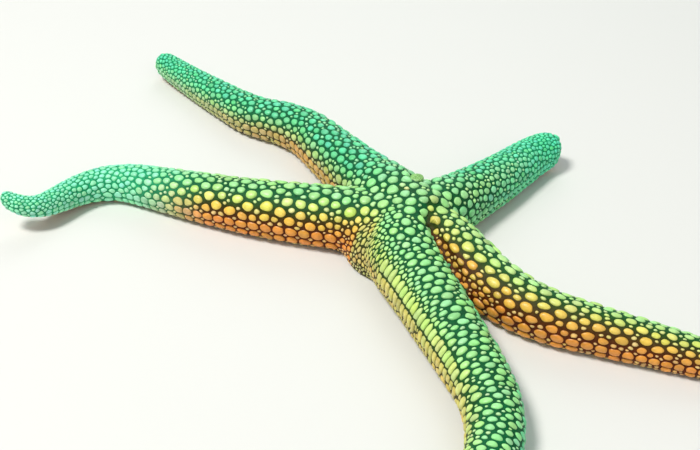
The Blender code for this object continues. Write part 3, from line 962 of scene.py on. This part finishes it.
ROD_PATCH, SIEVE_PATCH = 0.0015, 0.006  # half the width of their patches on the map


def add_rods(name, bases, tips, profile, sides, tint, material, slot):
    """One piece of many rods, all clear of the floor, each with its own small patch of the map."""
    tips = tips.copy()
    tips[:, 2] = np.maximum(tips[:, 2], 0.06 * MM)
    points, faces = rods(bases, tips, profile, sides)
    points[..., 2] = np.maximum(points[..., 2], 0.02 * MM)
    mesh = new_mesh(name, points.reshape(-1, 3), faces)
    tone = 1 + rng.normal(0, 0.06, (len(bases), 1, 1))
    paint(mesh, np.clip(np.repeat(tint * tone, points.shape[1], 1), 0, 1).reshape(-1, 3))
    place = on_star(bases)
    root = strip_uv(place.arm, place.station, place.angle)[:, None]
    away = (points - bases[:, None])[..., :2]
    size = np.abs(away).max(axis=(1, 2), keepdims=True)
    lay_out(mesh, (root + ROD_PATCH * away / size).reshape(-1, 2)[loop_vertices(mesh)])
    new_piece(name, mesh, material)


SPINES_START, FEET_START, FURROW_END = 0.062, 0.07, 0.045
INNER_PITCH, OUTER_PITCH, FEET_PITCH = 0.46 * MM / REACH, 0.95 * MM / REACH, 1.15 * MM / REACH
FULL_FURROW = 5 * MM  # the furrow narrows where its arm's radius is less
JAW_HALF_ANGLE = 13  # degrees to each side of a furrow that the mouth's spines leave free
# Profiles of the rods: (share of the way to the tip, radius)
SPINE = [(0, 0.20 * MM), (0.5, 0.21 * MM), (0.85, 0.17 * MM), (1.0, 0.07 * MM)]
BLUNT = [(0, 0.30 * MM), (0.6, 0.32 * MM), (0.9, 0.26 * MM), (1.0, 0.10 * MM)]
FOOT = [(0, 0.26 * MM), (0.5, 0.24 * MM), (0.82, 0.26 * MM), (0.88, 0.40 * MM),
        (0.97, 0.42 * MM), (1.0, 0.34 * MM), (0.99, 0.12 * MM)]
JAW = [(0, 0.36 * MM), (0.5, 0.36 * MM), (0.85, 0.28 * MM), (1.0, 0.10 * MM)]


def narrowing(a, stations):
    return np.minimum(1, LINES[a].at(stations, LINES[a].radius) / FULL_FURROW)


def make_underside():
    """The furrow spines in two rows along each side, the tube feet between them, and the jaws."""
    inner, outer, feet = [[], []], [[], []], [[], []]
    for a, arm in enumerate(ARMS):
        end = arm.length - FURROW_END
        for side in (1, -1):
            s = np.arange(SPINES_START, end, INNER_PITCH)
            wave = 0.12 * MM * np.sin(np.arange(len(s)) * 2 * np.pi / 3)
            narrow = narrowing(a, s)
            inner[0].append(beside(a, s, side * 1.75 * MM * narrow, 0.9 * MM))
            inner[1].append(beside(a, s, side * (1.05 * MM + wave) * narrow, 0.12 * MM))
            s = np.arange(SPINES_START, end, OUTER_PITCH)
            narrow = narrowing(a, s)
            outer[0].append(beside(a, s, side * 2.15 * MM * narrow, 0.85 * MM))
            outer[1].append(beside(a, s, side * 2.25 * MM * narrow, 0.10 * MM))
            s = np.arange(FEET_START, end, FEET_PITCH)
            zigzag = 0.18 * MM * (-1) ** np.arange(len(s))
            lean = rng.normal(0, 0.25, (2, len(s))) * MM
            feet[0].append(beside(a, s, side * 0.42 * MM, 2.5 * MM))
            feet[1].append(beside(a, s + lean[0] / REACH, side * 0.55 * MM + zigzag + lean[1] * 0.4,
                                  rng.uniform(0.3, 0.9, len(s)) * MM))
    inner, outer, feet = ([np.concatenate(ends) for ends in kind] for kind in (inner, outer, feet))
    add_rods("furrow_spines", *inner, SPINE, 6, linear(226, 186, 116), PLATE_MATERIAL, "back")
    add_rods("outer_spines", *outer, BLUNT, 8, linear(232, 202, 132), PLATE_MATERIAL, "back")
    add_rods("tube_feet", *feet, FOOT, 8, linear(226, 196, 140), FOOT_MATERIAL, "mouth")
    turn = np.radians(np.arange(0, 360, 7.5))
    headings = np.array([LINES[a].at(0.05, LINES[a].heading) for a in range(len(ARMS))])
    off = np.abs((turn[:, None] - headings + np.pi) % (2 * np.pi) - np.pi).min(1)
    turn = turn[off > np.radians(JAW_HALF_ANGLE)]
    out = np.stack([np.cos(turn), np.sin(turn), np.zeros(len(turn))], 1)
    mouth = np.array([CENTRE.x, CENTRE.y, 0])
    bases = mouth + out * 5.9 * MM + np.array([0, 0, 1.3 * MM])
    tips = mouth + out * 3.0 * MM + np.array([0, 0, 0.7 * MM])
    add_rods("mouth_spines", bases, tips, JAW, 8, linear(230, 196, 128), PLATE_MATERIAL, "back")


def make_sieve():
    """The sieve plate: a low dome, scored all over by fine winding furrows."""
    sides, rings = 72, 22
    share = 1 - np.arange(rings) / rings
    turn = 2 * np.pi * np.arange(sides) / sides
    rho, theta = np.meshgrid(share, turn, indexing="ij")
    rim = rho > 0.999
    forks = np.where(rho > 0.62, 20, np.where(rho > 0.32, 12, 6))
    furrow = np.abs(np.sin(forks / 2 * theta + 0.7 * np.sin(9 * rho + theta * 3)))
    low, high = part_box("madreporite")
    rise = high.z - low.z
    z = low.z + rise * (0.40 + 0.42 * (1 - rho ** 2)) + 0.16 * MM * (furrow - 0.7) * (rho < 0.97)
    z = np.where(rim, low.z, z)
    wide = SIEVE_RADIUS * np.where(rim, 0.97, rho)
    points = np.stack([SIEVE.x + wide * np.cos(theta), SIEVE.y + wide * np.sin(theta), z], -1)
    top = np.array([[SIEVE.x, SIEVE.y, low.z + 0.83 * rise]])
    points = np.concatenate([points.reshape(-1, 3), top])
    mesh = new_mesh("sieve_plate", points, dome_faces(1, sides, rings))
    # painted shade: the furrows are painted darker than the ridges between them
    ridge = np.append(np.clip(1.2 * furrow, 0, 1).ravel(), 1)
    paint(mesh, mixed(linear(44, 116, 70), linear(160, 214, 124), ridge))
    away = (points - np.array(SIEVE))[:, :2]
    place = on_star(np.array([SIEVE]))
    uv = strip_uv(place.arm, place.station, place.angle) + away / SIEVE_RADIUS * SIEVE_PATCH
    lay_out(mesh, uv[loop_vertices(mesh)])
    new_piece("sieve_plate", mesh, PLATE_MATERIAL, ["madreporite"])


# The animal ---------------------------------------------------------------------------------------

skin_points, skin_quads = sunk_skin()
make_skin(skin_points, skin_quads)
skin_tree = BVHTree.FromPolygons([Vector(p) for p in skin_points], skin_quads.tolist())
make_plates(skin_tree, laid_plates(skin_points, skin_quads, skin_tree))
make_underside()
make_sieve()
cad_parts["mouth_membrane"].material_slots[0].material = membrane_material()

# Stage, light and camera --------------------------------------------------------------------------

FLOOR_REACH = 3  # metres from the middle to each side
floor_corners = FLOOR_REACH * np.array([[-1, -1, 0], [1, -1, 0], [1, 1, 0], [-1, 1, 0]], float)
floor_mesh = new_mesh("floor", floor_corners, [np.array([[0, 1, 2, 3]])], smooth=False)
floor = bpy.data.objects.new("floor", floor_mesh)
floor.location.z = -0.02 * MM  # just under the soles, so that they share no plane
bpy.context.scene.collection.objects.link(floor)
floor_material = bpy.data.materials.new("floor")
floor_material.use_nodes = True
floor_shader = floor_material.node_tree.nodes["Principled BSDF"]
floor_shader.inputs["Base Color"].default_value = (0.80, 0.80, 0.78, 1)
floor_shader.inputs["Roughness"].default_value = 0.8
floor_mesh.materials.append(floor_material)


def area_light(name, place, size, power, colour):
    """A round lamp that faces the origin; metres and watts."""
    data = bpy.data.lights.new(name, "AREA")
    data.shape, data.size, data.energy, data.color = "DISK", size, power, colour
    light = bpy.data.objects.new(name, data)
    light.location = place
    light.rotation_euler = (-Vector(place)).to_track_quat("-Z", "Y").to_euler()
    bpy.context.scene.collection.objects.link(light)


area_light("key", (-0.45, -0.12, 0.9), 0.30, 8.4, (1.0, 0.98, 0.93))
area_light("fill", (0.5, -0.7, 0.6), 0.8, 1.6, (1.0, 0.97, 0.92))
area_light("back", (0.1, 0.9, 0.6), 0.7, 2.6, (0.86, 1.0, 0.96))
world = bpy.data.worlds.new("studio")
bpy.context.scene.world = world
world.use_nodes = True
background = world.node_tree.nodes["Background"]
background.inputs["Color"].default_value = (0.93, 0.97, 1.0, 1)
background.inputs["Strength"].default_value = 0.32

CAMERA_FROM_MIDDLE = (-0.01516, -0.18855, 0.13847)  # metres from the disc's middle, at floor level
CAMERA_TILT = 55  # degrees up from looking straight down
SENSOR, LENS = 36, 49.45  # millimetres
camera_data = bpy.data.cameras.new("camera")
camera_data.sensor_width = SENSOR
camera_data.lens = LENS
camera_data.clip_start, camera_data.clip_end = 0.005, 20
camera = bpy.data.objects.new("camera", camera_data)
camera.location = (CENTRE.x + CAMERA_FROM_MIDDLE[0], CENTRE.y + CAMERA_FROM_MIDDLE[1], CAMERA_FROM_MIDDLE[2])
camera.rotation_euler = (math.radians(CAMERA_TILT), 0, 0)
bpy.context.scene.collection.objects.link(camera)
bpy.context.scene.camera = camera
bpy.context.scene.view_settings.view_transform = "Standard"
